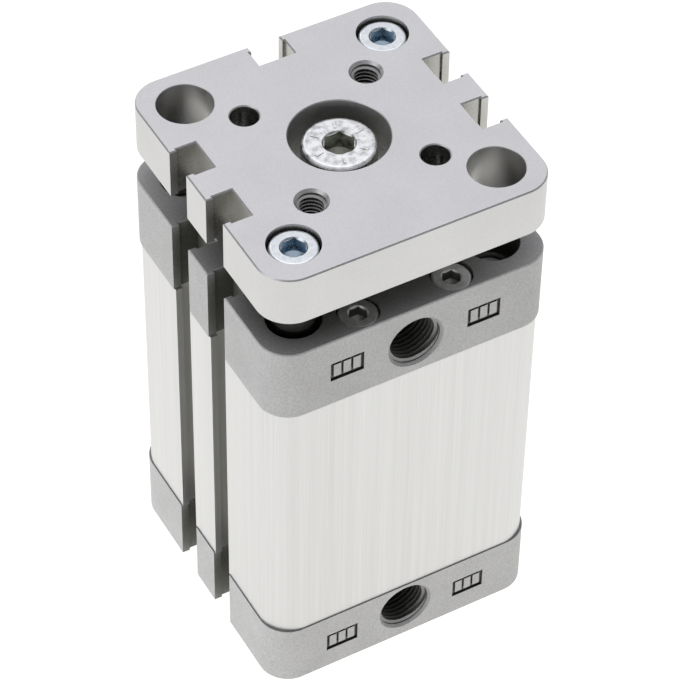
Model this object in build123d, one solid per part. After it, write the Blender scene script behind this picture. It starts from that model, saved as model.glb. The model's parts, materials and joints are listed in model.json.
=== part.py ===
from build123d import *
import os

os.makedirs("parts", exist_ok=True)

# ---------------------------------------------------------------------------
# Compact pneumatic cylinder, bore 40, stroke 40, with a square yoke plate and
# two guide rods that keep the piston rod from turning.  Millimetres.
# Origin: centre of the rear mounting face.  +Z: out along the piston rod.
# The two air ports are on the -Y face.
# ---------------------------------------------------------------------------

# overall
stroke = 40.0
bore_d = 40.0
rod_d = 12.0
rear_cap_t = 13.7            # rear cap, mounting face to barrel
barrel_l = 56.5              # extruded barrel
front_cap_t = 14.8           # front cap, barrel to cap face
yoke_gap = 7.0               # cap face to yoke plate, rod retracted
yoke_t = 10.0                # yoke plate

cap_w, cap_r = 53.7, 5.6     # caps, width across flats and corner radius
barrel_w, barrel_r = 53.3, 6.0
yoke_w, yoke_r = 53.6, 6.0

# sensor slots (T section), the same in the barrel, both caps and the yoke plate
slot_pitch = 12.9            # between the two slots of the left and right faces
slot_mouth = 5.2             # barrel
slot_mouth_wide = 6.0        # caps and yoke plate
slot_inner = 6.85
slot_floor = 21.75           # from the axis
slot_lip = 25.4              # inner face of the lips, from the axis

# hole patterns
corner = 19.0                # corner pattern, 38 x 38
tie_x, tie_y = 8.9, 22.7     # cap screws
cross = 11.65                # yoke plate's inner pattern, 23.3 x 23.3

# corner holes of the caps
corner_cb_d, corner_cb_t = 9.6, 6.0
corner_thread_d = 6.0        # M6, wall at the thread's outer diameter
centring_d, centring_t = 9.0, 2.1      # centring bore of the rear face
channel_d = 9.0              # corner channels of the barrel

# cap screws, M4 socket head
tie_head_d, tie_head_h, tie_d, tie_l, tie_af = 7.0, 4.0, 4.0, 20.0, 3.0
tie_cb_d, tie_cb_t, tie_hole_d = 7.4, 4.5, 4.3

# air ports, G1/8
port_d = 9.73                # wall at the thread's outer diameter
port_depth = 9.5
front_port_below_face = 8.0
rear_port_above_face = 7.7
port_pilot_d = 4.8
passage_d, passage_y = 2.8, -15.2

# spigots and internal seals
spigot_d, spigot_h = 39.9, 2.5
groove_d, groove_w = 36.8, 1.7
bumper_do, bumper_di, bumper_seat, bumper_h = 26.8, 19.0, 1.0, 1.5

# rod bearing
bush_do, bush_di = 15.0, 12.1
seal_do = 20.0
ledge_t = 3.8                # metal under the bush, from the spigot's end
seal_pocket_t = 4.5

# guide rods
guide_d, guide_len = 8.0, 76.0
guide_bush_di, guide_bush_do, guide_bush_l = 8.1, 9.56, 10.3
guide_bush_sunk = 2.0
guide_pocket = 2.0           # guide rod's seat in the yoke plate

# yoke plate holes
access_d = 9.8
guide_cb_d, guide_head_sunk = 9.2, 0.7
m5_head_d, m5_head_h, m5_d, m5_l, m5_af = 8.5, 5.0, 5.0, 12.0, 4.0
centre_cb_d, centre_head_sunk = 17.4, 1.66
m8_head_d, m8_head_h, m8_d, m8_l, m8_af = 13.0, 5.0, 8.0, 20.0, 5.0
dowel_d = 5.0

# piston
piston_len = 10.2
piston_d = 39.0
piston_gap = 0.15            # to the bumpers at each end of the stroke
running_d = 39.8             # seals and guide ring in the bore
m6_head_d, m6_head_h, m6_d, m6_l = 10.0, 4.0, 6.0, 16.0

# ---------------------------------------------------------------------------
# levels along Z
z_rear = 0.0
z_b0 = rear_cap_t                      # barrel, lower end
z_b1 = z_b0 + barrel_l                 # barrel, upper end
z_face = z_b1 + front_cap_t            # front cap face
z_y0 = z_face + yoke_gap               # yoke plate, underside
z_y1 = z_y0 + yoke_t                   # yoke plate, face
z_rear_spigot = z_b0 + spigot_h
z_front_spigot = z_b1 - spigot_h
proud = bumper_h - bumper_seat
z_p0 = z_rear_spigot + proud + piston_gap          # piston, retracted
z_p1 = z_p0 + piston_len
z_split = z_p0 + piston_len / 2


# ---------------------------------------------------------------------------
# building blocks
def cyl(r, z0, z1, x=0.0, y=0.0):
    return Pos(x, y, (z0 + z1) / 2) * Cylinder(r, z1 - z0)


def cyl_y(r, y0, y1, x=0.0, z=0.0):
    return Pos(x, (y0 + y1) / 2, z) * Rot(90, 0, 0) * Cylinder(r, abs(y1 - y0))


def tube(ro, ri, z0, z1, x=0.0, y=0.0):
    return cyl(ro, z0, z1, x, y) - cyl(ri, z0 - 1, z1 + 1, x, y)


def cone(r0, r1, z0, z1, x=0.0, y=0.0):
    return Pos(x, y, (z0 + z1) / 2) * Cone(r0, r1, z1 - z0)


def turned(points, x=0.0, y=0.0):
    """Solid of revolution about Z from (radius, z) points."""
    face = make_face(Polyline(*[(r, 0, z) for r, z in points], close=True))
    return Pos(x, y, 0) * revolve(face, Axis.Z, 360)


def slot_section(half, mouth):
    """T section of one sensor slot, opening towards +X on a face at x = half."""
    m, w = mouth / 2, slot_inner / 2
    pts = [(half + 1, m), (slot_lip, m), (slot_lip, w), (slot_floor, w),
           (slot_floor, -w), (slot_lip, -w), (slot_lip, -m), (half + 1, -m)]
    return make_face(Polyline(*pts, close=True))


def outline(width, radius, mouth=slot_mouth_wide):
    """Rounded square with two slots left, two slots right and one at the back."""
    s = RectangleRounded(width, width, radius)
    one = slot_section(width / 2, mouth)
    for turn in (0, 180):
        for side in (-1, 1):
            s -= Rot(0, 0, turn) * Pos(0, side * slot_pitch / 2, 0) * one
    s -= Rot(0, 0, 90) * one
    return s


def prism(sketch, z0, z1):
    return Pos(0, 0, z0) * extrude(sketch, z1 - z0)


def break_edges(part, z, size):
    """Chamfer of the outer rim of the flat face at height z."""
    face = [f for f in part.faces()
            if f.geom_type == GeomType.PLANE and abs(f.center().Z - z) < 1e-4
            and abs(f.normal_at().Z) > 0.99]
    face = sorted(face, key=lambda f: f.area)[-1]
    return chamfer(face.outer_wire().edges(), size)


def socket_screw(head_d, head_h, shank_d, shank_l, af, edge=0.5, depth=0.5):
    """Socket head cap screw, seat at z = 0, head up, shank down."""
    r, s = head_d / 2, shank_d / 2
    body = turned([(0, -shank_l), (s - 0.6, -shank_l), (s, -shank_l + 0.6), (s, 0),
                   (r - 0.2, 0), (r, 0.2), (r, head_h - edge),
                   (r - 0.08 * edge, head_h - 0.62 * edge),
                   (r - 0.29 * edge, head_h - 0.29 * edge),
                   (r - 0.62 * edge, head_h - 0.08 * edge),
                   (r - edge, head_h), (0, head_h)])
    d = head_h * depth
    socket = Pos(0, 0, head_h - d) * extrude(
        RegularPolygon(af / 2, 6, major_radius=False), d + 1)
    point = cone(0.01, af / 2, head_h - d - af * 0.28, head_h - d + 0.001)
    mouth_r = af / 2 / 0.866 + 0.06
    mouth = cone(mouth_r - 0.3, mouth_r + 0.3, head_h - 0.3, head_h + 0.3)
    return body - socket - point - mouth


def port(y_face, z):
    """G1/8 port in the -Y face: threaded part, mouth chamfer, pilot bore."""
    p = cyl_y(port_d / 2, y_face - 1, y_face + port_depth, 0, z)
    p += Pos(0, y_face + 0.3, z) * Rot(90, 0, 0) * Cone(
        port_d / 2 - 0.12, port_d / 2 + 0.48, 0.6)
    p += cyl_y(port_pilot_d / 2, y_face + 1, -13.9, 0, z)
    return p


def marking_pad(x, z, y_face):
    """Sunken rectangular pad in the -Y face with three plain raised blocks in it."""
    w, h, d = 6.3, 4.1, 0.5
    pad = Pos(x, y_face + d / 2 - 0.5, z) * Box(w, d + 1.0, h)
    for i in (-1, 0, 1):
        pad -= Pos(x + 1.85 * i, y_face + d / 2 + 0.04, z + 0.12) * Box(1.4, d - 0.08, h - 1.35)
    return pad


corners = [(-corner, -corner), (corner, -corner), (corner, corner), (-corner, corner)]
guide_pos = [(-corner, -corner), (corner, corner)]       # guide rods
thread_pos = [(corner, -corner), (-corner, corner)]      # free corner threads
tie_pos = [(sx * tie_x, sy * tie_y) for sx in (-1, 1) for sy in (-1, 1)]

nodes = {}

# ---------------------------------------------------------------------------
# barrel: extruded profile with bore, corner channels and screw channels
barrel = prism(outline(barrel_w, barrel_r, slot_mouth), z_b0, z_b1)
barrel -= cyl(bore_d / 2, z_b0 - 1, z_b1 + 1)
for x, y in corners:
    barrel -= cyl(channel_d / 2, z_b0 - 1, z_b1 + 1, x, y)
for x, y in tie_pos:
    barrel -= cyl(tie_d / 2 + 0.02, z_b0 - 1, z_b1 + 1, x, y)
nodes["barrel_profile"] = barrel

# ---------------------------------------------------------------------------
# front cap: rod bearing, port, guide bush seats, free corner threads
y_face = -cap_w / 2
z_port_f = z_face - front_port_below_face
fc = prism(outline(cap_w, cap_r), z_b1, z_face)
fc = break_edges(fc, z_face, 0.2)
fc += cyl(spigot_d / 2, z_front_spigot, z_b1 + 0.5)
fc -= cyl(rod_d / 2 + 0.5, z_front_spigot - 1, z_face + 1)
z_bush0 = z_front_spigot + ledge_t
z_seal0 = z_face - seal_pocket_t
fc -= cyl(bush_do / 2, z_bush0, z_face + 1)
fc -= cyl(seal_do / 2, z_seal0, z_face + 1)
fc -= cone(seal_do / 2 - 0.1, seal_do / 2 + 0.6, z_face - 0.5, z_face + 0.2)
z_gf = z_front_spigot + 0.4
fc -= tube(22.0, groove_d / 2, z_gf, z_gf + groove_w)
fc -= tube(bumper_do / 2, bumper_di / 2, z_front_spigot - 1, z_front_spigot + bumper_seat)
for x, y in tie_pos:
    fc -= cyl(tie_hole_d / 2, z_b1 - 1, z_face + 1, x, y)
    fc -= cyl(tie_cb_d / 2, z_face - tie_cb_t, z_face + 1, x, y)
z_gb1 = z_face - guide_bush_sunk
z_gb0 = z_gb1 - guide_bush_l
for x, y in guide_pos:
    fc -= cyl(corner_cb_d / 2, z_gb0, z_face + 1, x, y)
    fc -= cyl(guide_d / 2 + 0.35, z_b1 - 1, z_face, x, y)
for x, y in thread_pos:
    fc -= cyl(corner_cb_d / 2, z_face - corner_cb_t, z_face + 1, x, y)
    fc -= cyl(corner_thread_d / 2, z_b1 - 1, z_face, x, y)
    fc -= cone(corner_thread_d / 2 - 0.1, corner_thread_d / 2 + 0.4,
               z_face - corner_cb_t - 0.5, z_face - corner_cb_t + 0.001, x, y)
fc -= port(y_face, z_port_f)
fc -= cyl(passage_d / 2, z_front_spigot - 1, z_port_f, 0, passage_y)
for sx in (-1, 1):
    fc -= marking_pad(sx * 13.1, z_port_f + 0.7, y_face)
nodes["front_cap"] = fc

# rear cap: port and the four threads of the mounting face
z_port_r = z_rear + rear_port_above_face
rc = prism(outline(cap_w, cap_r), z_rear, z_b0)
rc = break_edges(rc, z_rear, 0.3)
rc += cyl(spigot_d / 2, z_b0 - 0.5, z_rear_spigot)
z_gr = z_rear_spigot - 0.4 - groove_w
rc -= tube(22.0, groove_d / 2, z_gr, z_gr + groove_w)
rc -= tube(bumper_do / 2, bumper_di / 2, z_rear_spigot - bumper_seat, z_rear_spigot + 1)
for x, y in tie_pos:
    rc -= cyl(tie_hole_d / 2, z_rear - 1, z_b0 + 1, x, y)
    rc -= cyl(tie_cb_d / 2, z_rear - 1, z_rear + tie_cb_t, x, y)
for x, y in corners:
    rc -= cyl(corner_thread_d / 2, z_rear - 1, z_b0 + 1, x, y)
    rc -= cone(corner_thread_d / 2 + 0.5, corner_thread_d / 2 - 0.1,
               z_rear - 0.1, z_rear + 0.5, x, y)
rc -= cyl(centring_d / 2, z_rear - 1, z_rear + centring_t)
rc -= cone(centring_d / 2 + 0.3, centring_d / 2 - 0.1, z_rear - 0.1, z_rear + 0.3)
rc -= port(y_face, z_port_r)
rc -= cyl(passage_d / 2, z_port_r, z_rear_spigot + 1, 0, passage_y)
for sx in (-1, 1):
    rc -= marking_pad(sx * 13.1, z_port_r - 0.9, y_face)
nodes["rear_cap"] = rc

# cap screws, four at each end
tie = socket_screw(tie_head_d, tie_head_h, tie_d, tie_l, tie_af, 0.4)
nodes["front_cap_screws"] = Compound(
    [Pos(x, y, z_face - tie_cb_t) * tie.solid() for x, y in tie_pos])
nodes["rear_cap_screws"] = Compound(
    [Pos(x, y, z_rear + tie_cb_t) * Rot(180, 0, 0) * tie.solid() for x, y in tie_pos])

# ---------------------------------------------------------------------------
# rod bearing and seals in the front cap
nodes["rod_bush"] = tube(bush_do / 2 - 0.01, bush_di / 2, z_bush0, z_seal0)
rs = rod_d / 2 + 0.08
so = seal_do / 2 - 0.01
nodes["rod_seal"] = turned([(rs + 1.0, z_seal0), (so, z_seal0), (so, z_seal0 + 2.4),
                            (rs + 0.9, z_seal0 + 2.4), (rs, z_seal0 + 1.7),
                            (rs, z_seal0 + 0.6)])
zw = z_seal0 + 2.4
nodes["rod_wiper"] = turned([(rs + 0.9, zw), (so, zw), (so, z_face - 0.3),
                             (so - 0.4, z_face), (so - 2.2, z_face),
                             (rs + 0.9, z_face + 0.9), (rs, z_face + 0.9),
                             (rs, z_face + 0.3), (rs + 0.5, z_face - 0.4)])

# static rings between the cap spigots and the bore
ring_r = 0.76
nodes["front_cap_seal"] = Pos(0, 0, z_gf + groove_w / 2) * Torus(19.2, ring_r)
nodes["rear_cap_seal"] = Pos(0, 0, z_gr + groove_w / 2) * Torus(19.2, ring_r)

# end-stop bumpers
bo, bi = bumper_do / 2 - 0.02, bumper_di / 2 + 0.02
zt = z_front_spigot + bumper_seat
nodes["front_bumper"] = turned([(bi, zt), (bo, zt), (bo, zt - bumper_h + 0.3),
                                (bo - 0.3, zt - bumper_h), (bi + 0.3, zt - bumper_h),
                                (bi, zt - bumper_h + 0.3)])
zt = z_rear_spigot - bumper_seat
nodes["rear_bumper"] = turned([(bi, zt), (bo, zt), (bo, zt + bumper_h - 0.3),
                               (bo - 0.3, zt + bumper_h), (bi + 0.3, zt + bumper_h),
                               (bi, zt + bumper_h - 0.3)])

# guide bushes
for name, (x, y) in zip(("guide_bush_left", "guide_bush_right"), guide_pos):
    ro, ri = guide_bush_do / 2, guide_bush_di / 2
    nodes[name] = turned([(ri, z_gb0), (ro, z_gb0), (ro, z_gb1 - 0.3), (ro - 0.3, z_gb1),
                          (ri + 0.3, z_gb1), (ri, z_gb1 - 0.3)], x, y)

# ---------------------------------------------------------------------------
# yoke plate
yp = prism(outline(yoke_w, yoke_r), z_y0, z_y1)
yp = break_edges(yp, z_y1, 0.22)
yp = break_edges(yp, z_y0, 0.25)
for x, y in thread_pos:
    yp -= cyl(access_d / 2, z_y0 - 1, z_y1 + 1, x, y)
    yp -= cone(access_d / 2 - 0.1, access_d / 2 + 0.2, z_y1 - 0.2, z_y1 + 0.1, x, y)
z_m5 = z_y1 - guide_head_sunk - m5_head_h
for x, y in guide_pos:
    yp -= cyl(m5_d / 2 + 0.15, z_y0 - 1, z_y1 + 1, x, y)
    yp -= cyl(guide_cb_d / 2, z_m5, z_y1 + 1, x, y)
    yp -= cyl(guide_d / 2 + 0.03, z_y0 - 1, z_y0 + guide_pocket, x, y)
z_m8 = z_y1 - centre_head_sunk - m8_head_h
yp -= cyl(m8_d / 2 + 0.2, z_y0 - 1, z_y1 + 1)
yp -= cyl(centre_cb_d / 2, z_m8, z_y1 + 1)
yp -= cone(centre_cb_d / 2 - 0.1, centre_cb_d / 2 + 0.25, z_y1 - 0.25, z_y1 + 0.1)
for x, y in [(-cross, cross), (cross, -cross)]:
    yp -= cyl(dowel_d / 2, z_y0 - 1, z_y1 + 1, x, y)
    yp -= cone(dowel_d / 2 - 0.1, dowel_d / 2 + 0.3, z_y1 - 0.3, z_y1 + 0.1, x, y)
for x, y in [(cross, cross), (-cross, -cross)]:
    yp -= cyl(m5_d / 2, z_y0 - 1, z_y1 + 1, x, y)
    yp -= cone(m5_d / 2 - 0.1, m5_d / 2 + 0.6, z_y1 - 0.6, z_y1 + 0.1, x, y)
nodes["yoke_plate"] = yp

# screws of the yoke plate
m8 = socket_screw(m8_head_d, m8_head_h, m8_d, m8_l, m8_af, 0.8, 0.66)
for i in range(6):                     # six plain raised bars on its head
    m8 += Rot(0, 0, 60 * i + 12) * Pos(4.35, 0, m8_head_h + 0.01) * Box(1.5, 0.42, 0.18)
nodes["yoke_screw"] = Pos(0, 0, z_m8) * m8
m5 = socket_screw(m5_head_d, m5_head_h, m5_d, m5_l, m5_af, 0.6, 0.55)
nodes["guide_rod_screws"] = Compound([Pos(x, y, z_m5) * m5.solid() for x, y in guide_pos])

# guide rods
for name, (x, y) in zip(("guide_rod_left", "guide_rod_right"), guide_pos):
    r = guide_d / 2
    zt, zb = z_y0 + guide_pocket, z_y0 + guide_pocket - guide_len
    g = turned([(0, zb), (r - 0.8, zb), (r, zb + 0.8), (r, zt - 0.3), (r - 0.3, zt), (0, zt)],
               x, y)
    g -= cyl(m5_d / 2 + 0.02, zt - 14.0, zt + 1, x, y)
    nodes[name] = g

# piston rod: tapped M8 at the yoke, M6 at the piston
z_seat = z_p1 - 3.2
r = rod_d / 2
rod = turned([(0, z_seat), (r - 0.4, z_seat), (r, z_seat + 0.4), (r, z_y0 - 0.5),
              (r - 0.5, z_y0), (0, z_y0)])
rod -= cyl(m8_d / 2 + 0.02, z_y0 - 19.0, z_y0 + 1)
rod -= cyl(m6_d / 2 + 0.02, z_seat - 1, z_seat + 14.0)
nodes["piston_rod"] = rod

# piston: two turned halves with the magnet and guide ring between them
pr, gr, mr = piston_d / 2, 16.6, 14.8
w_rim, w_seal, w_web, w_mid = 0.9, 2.3, 0.8, 1.1
rear = turned([(0, z_p0), (pr - 0.3, z_p0), (pr, z_p0 + 0.3), (pr, z_p0 + w_rim),
               (gr, z_p0 + w_rim), (gr, z_p0 + w_rim + w_seal),
               (pr, z_p0 + w_rim + w_seal), (pr, z_p0 + w_rim + w_seal + w_web),
               (mr, z_p0 + w_rim + w_seal + w_web), (mr, z_split), (0, z_split)])
z_m6 = z_p0 + m6_head_h + 0.2
rear -= cyl(m6_d / 2 + 0.2, z_p0 - 1, z_split + 1)
rear -= cyl(m6_head_d / 2 + 0.3, z_p0 - 1, z_m6)
nodes["piston_rear"] = rear
front = turned([(0, z_split), (mr, z_split), (mr, z_split + w_mid), (pr, z_split + w_mid),
                (pr, z_split + w_mid + w_web), (gr, z_split + w_mid + w_web),
                (gr, z_split + w_mid + w_web + w_seal), (pr, z_split + w_mid + w_web + w_seal),
                (pr, z_p1 - 0.3), (pr - 0.3, z_p1), (0, z_p1)])
front -= cyl(m6_d / 2 + 0.2, z_split - 1, z_p1 + 1)
front -= cyl(rod_d / 2 + 0.03, z_seat, z_p1 + 1)
front -= cyl(4.8, z_split - 1, z_split + 1.3)
nodes["piston_front"] = front
nodes["piston_oring"] = Pos(0, 0, z_split + 0.65) * Torus(4.0, 0.62)

run = running_d / 2
nodes["piston_magnet"] = tube(18.0, mr + 0.02, z_split - w_mid + 0.02, z_split + w_mid - 0.02)
nodes["piston_guide_ring"] = tube(run, 18.05, z_split - w_mid + 0.05, z_split + w_mid - 0.05)
a = z_p0 + w_rim + 0.05
b = z_p0 + w_rim + w_seal - 0.05
nodes["piston_seal_rear"] = turned([(gr + 0.05, a), (17.9, a), (18.3, a + 0.8), (18.8, a),
                                    (run, a + 0.1), (run, a + 0.9), (run - 0.5, b),
                                    (gr + 0.05, b)])
a = z_split + w_mid + w_web + 0.05
b = z_split + w_mid + w_web + w_seal - 0.05
nodes["piston_seal_front"] = turned([(gr + 0.05, b), (17.9, b), (18.3, b - 0.8), (18.8, b),
                                     (run, b - 0.1), (run, b - 0.9), (run - 0.5, a),
                                     (gr + 0.05, a)])

m6 = socket_screw(m6_head_d, m6_head_h, m6_d, m6_l, 5.0, 0.5, 0.5)
nodes["piston_screw"] = Pos(0, 0, z_m6) * Rot(180, 0, 0) * m6

# ---------------------------------------------------------------------------
for name, shape in nodes.items():
    export_step(shape, f"parts/{name}.step")
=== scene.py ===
import json
import math

import bmesh
import bpy
from mathutils import Matrix, Vector


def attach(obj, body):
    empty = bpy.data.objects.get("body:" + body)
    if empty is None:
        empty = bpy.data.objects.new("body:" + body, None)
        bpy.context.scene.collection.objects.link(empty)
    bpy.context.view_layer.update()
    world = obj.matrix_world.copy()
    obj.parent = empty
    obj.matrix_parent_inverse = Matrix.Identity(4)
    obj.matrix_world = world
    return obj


# ---------------------------------------------------------------------------
# Looks of a compact pneumatic cylinder: one camera, soft studio light, a
# procedural finish for every piece, and the cut threads as helical ridges.
# Metres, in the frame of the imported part: +Z out along the piston rod, the
# rear mounting face at z = 0, the two air ports on the -Y face.
# ---------------------------------------------------------------------------

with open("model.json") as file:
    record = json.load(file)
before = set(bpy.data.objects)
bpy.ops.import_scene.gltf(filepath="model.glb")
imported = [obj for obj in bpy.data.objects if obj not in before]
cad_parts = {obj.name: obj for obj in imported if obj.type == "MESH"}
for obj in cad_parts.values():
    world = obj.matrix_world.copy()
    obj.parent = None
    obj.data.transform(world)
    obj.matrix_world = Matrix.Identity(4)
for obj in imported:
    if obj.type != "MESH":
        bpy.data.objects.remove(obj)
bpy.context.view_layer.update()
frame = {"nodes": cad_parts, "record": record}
nodes = frame["nodes"]
MM = 0.001
scene = bpy.context.scene


# ---------------------------------------------------------------------------
# camera
def make_camera():
    az, el, roll = math.radians(-29.83), math.radians(46.14), math.radians(0.98)
    back = Vector((math.sin(az) * math.cos(el), -math.cos(az) * math.cos(el), math.sin(el)))
    fwd = -back
    right = fwd.cross(Vector((0, 0, 1))).normalized()
    up = right.cross(fwd)
    c, s = math.cos(roll), math.sin(roll)
    r2 = right * c + up * s
    u2 = up * c - right * s
    m = Matrix.Identity(4)
    for i in range(3):
        m[i][0], m[i][1], m[i][2] = r2[i], u2[i], back[i]
        m[i][3] = (-0.200125, -0.350373, 0.472847)[i]
    cam = bpy.data.cameras.new("camera")
    cam.sensor_width = 36.0
    cam.lens = 174.66
    cam.clip_start, cam.clip_end = 0.01, 20.0
    obj = bpy.data.objects.new("camera", cam)
    scene.collection.objects.link(obj)
    obj.matrix_world = m
    scene.camera = obj


make_camera()

# ---------------------------------------------------------------------------
# LIGHT0
# light: a white table in a soft tent, open towards the camera. Each soft light is
# a smooth patch of the sky: azimuth and elevation in degrees, the angles from its
# middle to where it starts to fade and to its edge, and its brightness.
scene.view_settings.view_transform = "Standard"
scene.view_settings.look = "None"
scene.view_settings.exposure = 0.0
scene.view_settings.gamma = 1.0

AMBIENT = 0.28
LIGHTS = [
    (0, 90, 20, 45, 0.72),        # overhead
    (150, 45, 25, 50, 0.90),      # large softbox behind the object
    (-175, 18, 12, 32, 0.90),     # its lower left part
    (-85, 22, 15, 35, 1.60),      # left
    (75, 30, 15, 40, 0.20),       # right
    (-5, 22, 28, 60, 0.02),        # faint fill on the camera side
]
FLOOR_NEAR, FLOOR_FAR = 0.97, 0.86
SKY_TINT, FLOOR_TINT = (0.790, 0.785, 0.820), (1.0, 0.992, 0.955)


def direction(az, el):
    a, e = math.radians(az), math.radians(el)
    return (math.sin(a) * math.cos(e), -math.cos(a) * math.cos(e), math.sin(e))


def make_world():
    world = bpy.data.worlds.new("tent")
    scene.world = world
    world.use_nodes = True
    nt = world.node_tree
    nt.nodes.clear()
    tc = nt.nodes.new("ShaderNodeTexCoord")
    total = None
    for az, el, inner, outer, power in LIGHTS:
        dot = nt.nodes.new("ShaderNodeVectorMath")
        dot.operation = "DOT_PRODUCT"
        nt.links.new(tc.outputs["Generated"], dot.inputs[0])
        dot.inputs[1].default_value = direction(az, el)
        ease = nt.nodes.new("ShaderNodeMapRange")
        ease.interpolation_type = "SMOOTHSTEP"
        ease.inputs["From Min"].default_value = math.cos(math.radians(outer))
        ease.inputs["From Max"].default_value = math.cos(math.radians(inner))
        ease.inputs["To Max"].default_value = power
        nt.links.new(dot.outputs["Value"], ease.inputs["Value"])
        add = nt.nodes.new("ShaderNodeMath")
        add.operation = "ADD"
        nt.links.new(ease.outputs["Result"], add.inputs[0])
        if total is None:
            add.inputs[1].default_value = AMBIENT
        else:
            nt.links.new(total, add.inputs[1])
        total = add.outputs[0]
    bg = nt.nodes.new("ShaderNodeBackground")
    bg.inputs["Color"].default_value = (*SKY_TINT, 1)
    floor_level = nt.nodes.new("ShaderNodeMath")
    floor_level.operation = "MAXIMUM"
    floor_level.inputs[1].default_value = 0.01
    nt.links.new(total, floor_level.inputs[0])
    nt.links.new(floor_level.outputs[0], bg.inputs["Strength"])
    out = nt.nodes.new("ShaderNodeOutputWorld")
    nt.links.new(bg.outputs[0], out.inputs[0])


make_world()


# LIGHT1
# ---------------------------------------------------------------------------
# mesh helpers
def mesh_object(name, verts, faces, smooth=True):
    me = bpy.data.meshes.new(name)
    me.from_pydata([tuple(v) for v in verts], [], faces)
    bm = bmesh.new()
    bm.from_mesh(me)
    bmesh.ops.recalc_face_normals(bm, faces=bm.faces)
    bm.to_mesh(me)
    bm.free()
    if smooth:
        for p in me.polygons:
            p.use_smooth = True
    me.update()
    obj = bpy.data.objects.new(name, me)
    scene.collection.objects.link(obj)
    return obj


# ---------------------------------------------------------------------------
# floor, seen from above only
def make_floor():
    n, r0 = 96, 6.0
    rings = [0.0, 0.15, 0.6, 2.0, r0]
    verts, faces = [(0, 0, 0)], []
    for r in rings[1:]:
        for i in range(n):
            a = 2 * math.pi * i / n
            verts.append((r * math.cos(a), r * math.sin(a), 0))
    for i in range(n):
        faces.append((0, 1 + i, 1 + (i + 1) % n))
    for k in range(len(rings) - 2):
        b0, b1 = 1 + k * n, 1 + (k + 1) * n
        for i in range(n):
            j = (i + 1) % n
            faces.append((b0 + i, b1 + i, b1 + j, b0 + j))
    floor = mesh_object("floor", verts, faces, smooth=False)
    floor.location = (0, 0, -0.00015)
    mat = bpy.data.materials.new("floor_white")
    mat.use_nodes = True
    nt = mat.node_tree
    bsdf = nt.nodes["Principled BSDF"]
    bsdf.inputs["Base Color"].default_value = (0.30, 0.30, 0.30, 1)
    bsdf.inputs["Roughness"].default_value = 0.9
    bsdf.inputs["Specular IOR Level"].default_value = 0.1
    bsdf.inputs["Emission Color"].default_value = (*FLOOR_TINT, 1)
    tc = nt.nodes.new("ShaderNodeTexCoord")
    away = nt.nodes.new("ShaderNodeVectorMath")
    away.operation = "LENGTH"
    nt.links.new(tc.outputs["Object"], away.inputs[0])
    # painted pool of light: the floor glows brighter close to the object and less further out
    painted_light_pool = nt.nodes.new("ShaderNodeMapRange")
    painted_light_pool.interpolation_type = "SMOOTHSTEP"
    for k, v in zip(("From Min", "From Max", "To Min", "To Max"), (0.05, 0.30, FLOOR_NEAR, FLOOR_FAR)):
        painted_light_pool.inputs[k].default_value = v
    nt.links.new(away.outputs["Value"], painted_light_pool.inputs["Value"])
    nt.links.new(painted_light_pool.outputs["Result"], bsdf.inputs["Emission Strength"])
    geo = nt.nodes.new("ShaderNodeNewGeometry")
    clear = nt.nodes.new("ShaderNodeBsdfTransparent")
    mix = nt.nodes.new("ShaderNodeMixShader")
    nt.links.new(geo.outputs["Backfacing"], mix.inputs[0])
    nt.links.new(bsdf.outputs[0], mix.inputs[1])
    nt.links.new(clear.outputs[0], mix.inputs[2])
    nt.links.new(mix.outputs[0], nt.nodes["Material Output"].inputs["Surface"])
    floor.data.materials.append(mat)


make_floor()


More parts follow.
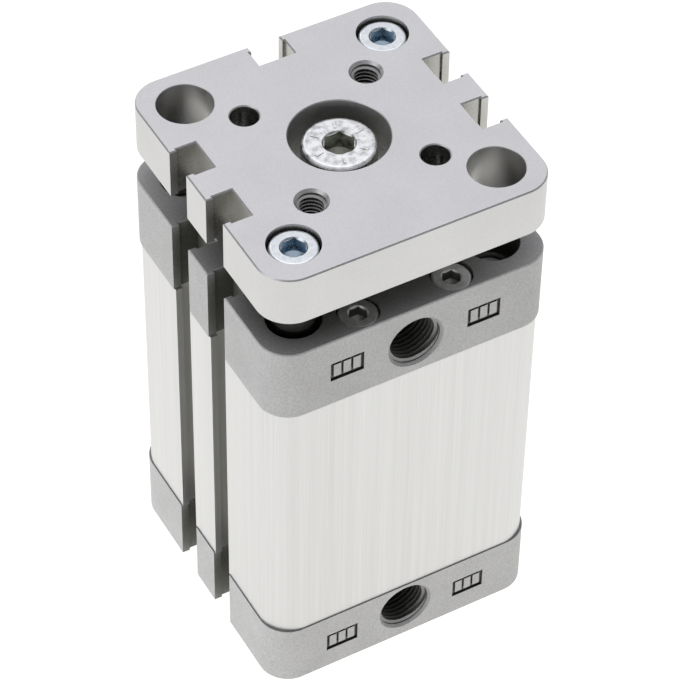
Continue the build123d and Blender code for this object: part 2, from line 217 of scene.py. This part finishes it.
# ---------------------------------------------------------------------------
# materials
class Shader:
    """A Principled material with object coordinates in millimetres."""

    def __init__(self, name, metallic=1.0, **sockets):
        self.mat = bpy.data.materials.new(name)
        self.mat.use_nodes = True
        self.nt = self.mat.node_tree
        self.bsdf = self.nt.nodes["Principled BSDF"]
        self.bsdf.inputs["Metallic"].default_value = metallic
        for k, v in sockets.items():
            self.bsdf.inputs[k.replace("_", " ")].default_value = v
        self.tc = self.nt.nodes.new("ShaderNodeTexCoord")

    def node(self, kind, **values):
        n = self.nt.nodes.new(kind)
        for k, v in values.items():
            setattr(n, k, v)
        return n

    def link(self, a, b):
        self.nt.links.new(a, b)

    def coords(self, sx, sy=None, sz=None):
        """Object coordinates in metres, times these factors (1000 gives one unit per mm)."""
        sy = sx if sy is None else sy
        sz = sx if sz is None else sz
        m = self.node("ShaderNodeMapping")
        m.inputs["Scale"].default_value = (sx, sy, sz)
        self.link(self.tc.outputs["Object"], m.inputs["Vector"])
        return m.outputs["Vector"]

    def noise(self, vector, scale=1.0, detail=2.0, rough=0.5):
        n = self.node("ShaderNodeTexNoise", noise_dimensions="3D")
        n.inputs["Scale"].default_value = scale
        n.inputs["Detail"].default_value = detail
        n.inputs["Roughness"].default_value = rough
        self.link(vector, n.inputs["Vector"])
        return n.outputs["Fac"]

    def map(self, value, a0, a1, b0, b1, clamp=True):
        n = self.node("ShaderNodeMapRange", clamp=clamp)
        for i, v in zip(("From Min", "From Max", "To Min", "To Max"), (a0, a1, b0, b1)):
            n.inputs[i].default_value = v
        self.link(value, n.inputs["Value"])
        return n.outputs["Result"]

    def math(self, op, a, b):
        n = self.node("ShaderNodeMath", operation=op)
        for i, v in enumerate((a, b)):
            if isinstance(v, (int, float)):
                n.inputs[i].default_value = v
            else:
                self.link(v, n.inputs[i])
        return n.outputs[0]

    def mix(self, fac, a, b):
        n = self.node("ShaderNodeMix", data_type="RGBA")
        if isinstance(fac, (int, float)):
            n.inputs[0].default_value = fac
        else:
            self.link(fac, n.inputs[0])
        for sock, v in ((n.inputs[6], a), (n.inputs[7], b)):
            if isinstance(v, tuple):
                sock.default_value = (*v, 1)
            else:
                self.link(v, sock)
        return n.outputs[2]

    def bump(self, height, distance, strength=1.0, normal=None):
        n = self.node("ShaderNodeBump")
        n.inputs["Strength"].default_value = strength
        n.inputs["Distance"].default_value = distance
        self.link(height, n.inputs["Height"])
        if normal is not None:
            self.link(normal, n.inputs["Normal"])
        return n.outputs["Normal"]

    def openness(self, distance, power=1.0, own=True):
        """1 on open faces, towards 0 deep in holes and slots: of this piece only,
        or with the pieces round it too."""
        n = self.node("ShaderNodeAmbientOcclusion", samples=6, only_local=own)
        n.inputs["Distance"].default_value = distance
        return n.outputs["AO"] if power == 1.0 else self.math("POWER", n.outputs["AO"], power)

    def facing_up(self, limit=0.9):
        """1 on faces that look up, 0 on the others."""
        geo = self.node("ShaderNodeNewGeometry")
        sep = self.node("ShaderNodeSeparateXYZ")
        self.link(geo.outputs["True Normal"], sep.inputs[0])
        return self.math("GREATER_THAN", sep.outputs[2], limit)

    def shade(self, colour, fac, low):
        """colour times low where fac is 0, and as it is where fac is 1."""
        dark = self.mix(1.0, colour, colour)
        dark.node.blend_type = "MULTIPLY"
        dark.node.inputs[7].default_value = (*low, 1)
        for link in list(dark.node.inputs[7].links):
            self.nt.links.remove(link)
        return self.mix(fac, dark, colour)

    def out(self, colour=None, rough=None, normal=None):
        for value, socket in ((colour, "Base Color"), (rough, "Roughness"), (normal, "Normal")):
            if value is not None:
                self.link(value, self.bsdf.inputs[socket])
        return self.mat


def grey(v, tint=(1, 1, 1)):
    return tuple(v * t for t in tint)


def cast_aluminium(name, level=1.0):
    """Blasted pressure die casting: a fine grain, slightly cloudy."""
    s = Shader(name, metallic=0.5)
    grain = s.noise(s.coords(1000), 2.6, 3, 0.6)
    cloud = s.noise(s.coords(1000), 0.16, 3, 0.55)
    pits = s.noise(s.coords(1000), 5.5, 2, 0.5)
    tint = (level, level, level)
    base = s.mix(s.map(cloud, 0.3, 0.7, 0, 1), grey(0.474, tint), grey(0.549, tint))
    fine = s.mix(s.map(grain, 0.32, 0.68, 0, 1), grey(0.38, tint), grey(0.72, tint))
    ao = s.openness(0.010)
    # painted shade: the casting's colour is darkened in its own holes, slots and recesses
    col = s.shade(s.mix(0.42, base, fine), s.map(ao, 0.60, 0.99, 0, 1), (0.205, 0.205, 0.178))
    # painted shade on the faces that look up under the yoke plate, darker where other pieces close over them
    painted_shade_under_plate = s.math("MULTIPLY", s.facing_up(), s.math("SUBTRACT", 1.0, s.map(s.openness(0.014, own=False), 0.35, 0.95, 0, 1)))
    col = s.shade(col, s.math("SUBTRACT", 1.0, painted_shade_under_plate), (0.19, 0.19, 0.175))
    rough = s.math("MULTIPLY", s.map(grain, 0.3, 0.7, 0.66, 0.76), s.map(ao, 0.2, 0.7, 0.6, 1.0))
    normal = s.bump(grain, 0.00002, 0.55)
    normal = s.bump(pits, 0.00001, 0.45, normal)
    return s.out(col, rough, normal)


def milled_aluminium(name, level=1.0):
    """Clear-anodised milled plate: even, with a very fine grain."""
    s = Shader(name)
    grain = s.noise(s.coords(1000), 3.2, 3, 0.6)
    cloud = s.noise(s.coords(1000), 0.10, 2, 0.5)
    tint = (level, level, level)
    base = s.mix(s.map(cloud, 0.3, 0.7, 0, 1), grey(0.556, tint), grey(0.602, tint))
    fine = s.mix(s.map(grain, 0.30, 0.70, 0, 1), grey(0.53, tint), grey(0.69, tint))
    ao = s.openness(0.008)
    # painted shade: darker in the plate's slots and holes, less so deep down
    col = s.shade(s.mix(0.40, base, fine), s.math("MAXIMUM", s.map(ao, 0.38, 0.88, 0, 1), s.map(ao, 0.20, 0.46, 1, 0)),
                  (0.58, 0.57, 0.49))
    rough = s.math("MULTIPLY", s.map(grain, 0.3, 0.7, 0.36, 0.44), s.map(ao, 0.2, 0.7, 0.55, 1.0))
    normal = s.bump(grain, 0.00001, 0.35)
    return s.out(col, rough, normal)


def extruded_aluminium():
    """Satin anodised extrusion: fine lines along its length."""
    s = Shader("barrel_extruded_anodised")
    lines = s.noise(s.coords(1000, 1000, 9), 3.0, 4, 0.62)
    broad = s.noise(s.coords(1000, 1000, 4), 0.55, 3, 0.6)
    grain = s.noise(s.coords(1000, 1000, 300), 4.0, 2, 0.5)
    tint = (1.0, 1.0, 1.0)
    base = s.mix(s.map(broad, 0.30, 0.70, 0, 1), grey(0.616, tint), grey(0.674, tint))
    fine = s.mix(s.map(lines, 0.32, 0.68, 0, 1), grey(0.575, tint), grey(0.765, tint))
    ao = s.openness(0.006)
    # painted shade: darker in the barrel's slots
    col = s.shade(s.mix(0.36, base, fine), s.map(ao, 0.15, 0.80, 0, 1), (0.63, 0.63, 0.54))
    rough = s.map(lines, 0.3, 0.7, 0.36, 0.46)
    normal = s.bump(lines, 0.00001, 0.35)
    normal = s.bump(grain, 0.000004, 0.3, normal)
    return s.out(col, rough, normal)


def zinc_plated(name, low, high, tint, rough0, rough1, painted_shade_colour, scale=1.3, spread=(0.3, 0.7), floor=None):
    """Zinc plated steel: bright, with a slightly mottled crystal finish."""
    s = Shader(name)
    mottled = s.noise(s.coords(1000), scale, 4, 0.62)
    grain = s.noise(s.coords(1000), 6.0, 2, 0.5)
    ao = s.openness(0.006)
    col = s.mix(s.map(mottled, *spread, 0, 1), grey(low, tint), grey(high, tint))
    # painted shade: darker in the hex socket and other hollows
    col = s.shade(col, s.map(ao, 0.50, 0.97, 0, 1), painted_shade_colour)
    if floor:        # painted shade on the socket's floor: darker deep down on faces that look up
        painted_floor_shade = s.math("MULTIPLY", s.facing_up(0.7), s.map(ao, 0.50, 0.80, 1, 0))
        col = s.shade(col, s.math("SUBTRACT", 1.0, painted_floor_shade), floor)
    rough = s.map(mottled, *spread, rough0, rough1)
    normal = s.bump(mottled, 0.00003, 0.35)
    normal = s.bump(grain, 0.000006, 0.4, normal)
    return s.out(col, rough, normal)


def oiled_steel():
    s = Shader("cap_screw_steel_oiled")
    film = s.noise(s.coords(1000), 0.9, 3, 0.6)
    grain = s.noise(s.coords(1000), 7.0, 2, 0.5)
    col = s.mix(s.map(film, 0.3, 0.7, 0, 1), (0.74, 0.74, 0.72), (0.90, 0.90, 0.87))
    # painted shade: darker in the socket and in the hollows round the head
    col = s.shade(col, s.map(s.openness(0.003), 0.45, 0.95, 0, 1), (0.40, 0.40, 0.38))
    return s.out(col, s.map(film, 0.3, 0.7, 0.40, 0.52), s.bump(grain, 0.000006, 0.4))


def ground_steel(name, low, high, tint, rough0, rough1, painted_shade_colour):
    """Ground round bar: fine rings round the axis."""
    s = Shader(name)
    rings = s.noise(s.coords(30, 30, 1000), 9.0, 3, 0.6)
    col = s.mix(s.map(rings, 0.3, 0.7, 0, 1), grey(low, tint), grey(high, tint))
    # painted shade: darker where other pieces close round the bar, as in the gap under the plate
    col = s.shade(col, s.map(s.openness(0.010, own=False), 0.35, 0.95, 0, 1), painted_shade_colour)
    return s.out(col, s.map(rings, 0.3, 0.7, rough0, rough1), s.bump(rings, 0.000004, 0.3))


def sintered_bronze():
    s = Shader("bearing_bronze_sintered")
    grain = s.noise(s.coords(1000), 4.0, 3, 0.6)
    col = s.mix(s.map(grain, 0.35, 0.65, 0, 1), (0.36, 0.22, 0.10), (0.66, 0.45, 0.22))
    return s.out(col, s.map(grain, 0.3, 0.7, 0.38, 0.55), s.bump(grain, 0.00001, 0.5))


def turned_aluminium():
    s = Shader("piston_aluminium_turned")
    rings = s.noise(s.coords(40, 40, 1000), 7.0, 3, 0.6)
    col = s.mix(s.map(rings, 0.3, 0.7, 0, 1), (0.56, 0.56, 0.57), (0.72, 0.72, 0.73))
    return s.out(col, s.map(rings, 0.3, 0.7, 0.28, 0.42), s.bump(rings, 0.000006, 0.4))


def elastomer(name, low, high, rough0, rough1):
    s = Shader(name, metallic=0.0)
    bloom = s.noise(s.coords(1000), 0.7, 3, 0.6)
    grain = s.noise(s.coords(1000), 8.0, 2, 0.5)
    col = s.mix(s.map(bloom, 0.3, 0.7, 0, 1), low, high)
    return s.out(col, s.map(bloom, 0.3, 0.7, rough0, rough1), s.bump(grain, 0.00001, 0.4))


LOOKS = {
    "cap_casting": cast_aluminium("cap_casting_blasted"),
    "yoke_aluminium": milled_aluminium("yoke_plate_anodised"),
    "barrel_anodised": extruded_aluminium(),
    "zinc_steel": zinc_plated("yoke_screw_zinc", 0.48, 0.86, (0.985, 1.0, 0.995), 0.20, 0.38,
                              (0.82, 0.83, 0.76), 0.70, (0.34, 0.56), (0.34, 0.34, 0.32)),
    "zinc_steel_blue": zinc_plated("guide_screw_zinc_blue", 0.70, 0.84, (0.93, 0.975, 1.0), 0.18, 0.30,
                                   (0.52, 0.62, 0.70)),
    "cap_screw_steel": oiled_steel(),
    "guide_steel": ground_steel("guide_rod_ground", 0.34, 0.46, (1, 1, 0.99), 0.16, 0.24,
                                (0.25, 0.25, 0.22)),
    "rod_chrome": ground_steel("piston_rod_chromed", 0.62, 0.72, (0.98, 0.99, 1.0), 0.06, 0.12,
                               (0.60, 0.60, 0.60)),
    "bearing_bronze": sintered_bronze(),
    "piston_aluminium": turned_aluminium(),
    "seal_rubber": elastomer("seal_nitrile_black", (0.012, 0.012, 0.012), (0.030, 0.030, 0.030), 0.42, 0.6),
    "bumper_elastomer": elastomer("bumper_polyurethane", (0.05, 0.05, 0.055), (0.085, 0.085, 0.09), 0.35, 0.5),
    "magnet_bonded": elastomer("magnet_bonded_ferrite", (0.035, 0.034, 0.033), (0.075, 0.073, 0.07), 0.5, 0.7),
    "guide_ring_plastic": elastomer("guide_ring_acetal", (0.58, 0.56, 0.49), (0.70, 0.68, 0.61), 0.4, 0.55),
}

REAR_CAP = cast_aluminium("rear_cap_casting_blasted", 1.09)      # the same casting finish, 9 % lighter
# cut threads get darker copies of the materials round them: painted shade inside the tapped holes
THREADS = {"cap_casting": cast_aluminium("casting_thread", 0.95),
           "yoke_aluminium": milled_aluminium("yoke_plate_thread", 0.62)}

slot_of = {p["node"]: p["material_slot"] for p in frame["record"]["subparts"]}
for name, obj in nodes.items():
    mat = REAR_CAP if name == "rear_cap" else LOOKS[slot_of[name]]
    if not obj.material_slots:
        obj.data.materials.append(mat)
    for ms in obj.material_slots:
        ms.material = mat


# ---------------------------------------------------------------------------
# threads: one closed helical ridge in each tapped hole
def thread(name, mouth, axis, major_r, pitch, depth, body, slot, chamfer=0.0, chamfer_end=0.0,
           runout=0.0, per_turn=56):
    """Ridge of an internal thread. mouth: centre of the hole's mouth; axis: into the
    hole. Lengths in mm. chamfer: how much wider than the thread the mouth is."""
    axis = Vector(axis).normalized()
    side = Vector((0, 0, 1)) if abs(axis.z) < 0.5 else Vector((1, 0, 0))
    e1 = axis.cross(side).normalized()
    e2 = axis.cross(e1)
    height = 0.5413 * pitch
    minor_r = major_r - height
    wall = major_r + 0.03
    start = max(chamfer - 0.02, 0.02)
    end = depth - max(chamfer_end - 0.02, 0.02)
    turns = (end - start) / pitch - 0.9
    n = int(turns * per_turn)
    verts, faces = [], []
    for i in range(n + 1):
        a = 2 * math.pi * i / per_turn
        d = start + 0.45 * pitch + pitch * i / per_turn
        crest = minor_r
        for reach, gap in ((chamfer, d), (chamfer_end, depth - d)):
            if reach > 0:
                crest = max(crest, major_r + reach - gap)
        if runout > 0 and depth - d < runout:
            crest = max(crest, major_r - height * max(0.0, (depth - d) / runout))
        grow = min(1.0, i / (0.20 * per_turn), (n - i) / (0.20 * per_turn))
        crest = max(crest, major_r - height * grow)
        crest = min(crest, major_r + 0.005)
        share = max((major_r - crest) / height, 0.0)
        foot = 0.4375 * pitch * (0.25 + 0.75 * share) if share < 1 else 0.4375 * pitch
        top = 0.125 * pitch
        if foot < top + 0.02:
            foot = top + 0.02
        shoulder = crest + 0.05 * (major_r - crest)
        profile = [(wall, -foot), (shoulder, -top - 0.01), (crest, -top * 0.6),
                   (crest, top * 0.6), (shoulder, top + 0.01), (wall, foot)]
        out = e1 * math.cos(a) + e2 * math.sin(a)
        for r, z in profile:
            verts.append((Vector(mouth) + out * r + axis * (d + z)) * MM)
    m = 6
    for i in range(n):
        for k in range(m):
            k2 = (k + 1) % m
            faces.append((i * m + k, i * m + k2, (i + 1) * m + k2, (i + 1) * m + k))
    faces.append(tuple(range(m)))
    faces.append(tuple(n * m + k for k in reversed(range(m))))
    obj = mesh_object(name, verts, faces)
    obj.data.set_sharp_from_angle(angle=math.radians(35))
    obj.data.materials.append(THREADS[slot])
    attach(obj, body)
    return obj


FACE, PLATE, CAP = 85.0, 102.0, 26.85
thread("port_thread_front", (0, -CAP, 77.0), (0, 1, 0), 4.865, 0.907, 9.5, "body", "cap_casting", 0.48)
thread("port_thread_rear", (0, -CAP, 7.7), (0, 1, 0), 4.865, 0.907, 9.5, "body", "cap_casting", 0.48)
thread("yoke_thread_front", (-11.65, -11.65, PLATE), (0, 0, -1), 2.5, 0.8, 10.0, "slider",
       "yoke_aluminium", 0.5)
thread("yoke_thread_back", (11.65, 11.65, PLATE), (0, 0, -1), 2.5, 0.8, 10.0, "slider",
       "yoke_aluminium", 0.5)
thread("cap_thread_right", (19, -19, FACE - 6.0), (0, 0, -1), 3.0, 1.0, 8.8, "body", "cap_casting", 0.4)
thread("cap_thread_left", (-19, 19, FACE - 6.0), (0, 0, -1), 3.0, 1.0, 8.8, "body", "cap_casting", 0.4)
for i, (x, y) in enumerate(((-19, -19), (19, -19), (19, 19), (-19, 19))):
    thread(f"rear_thread_{i + 1}", (x, y, 0), (0, 0, 1), 3.0, 1.0, 13.7, "body", "cap_casting", 0.42)
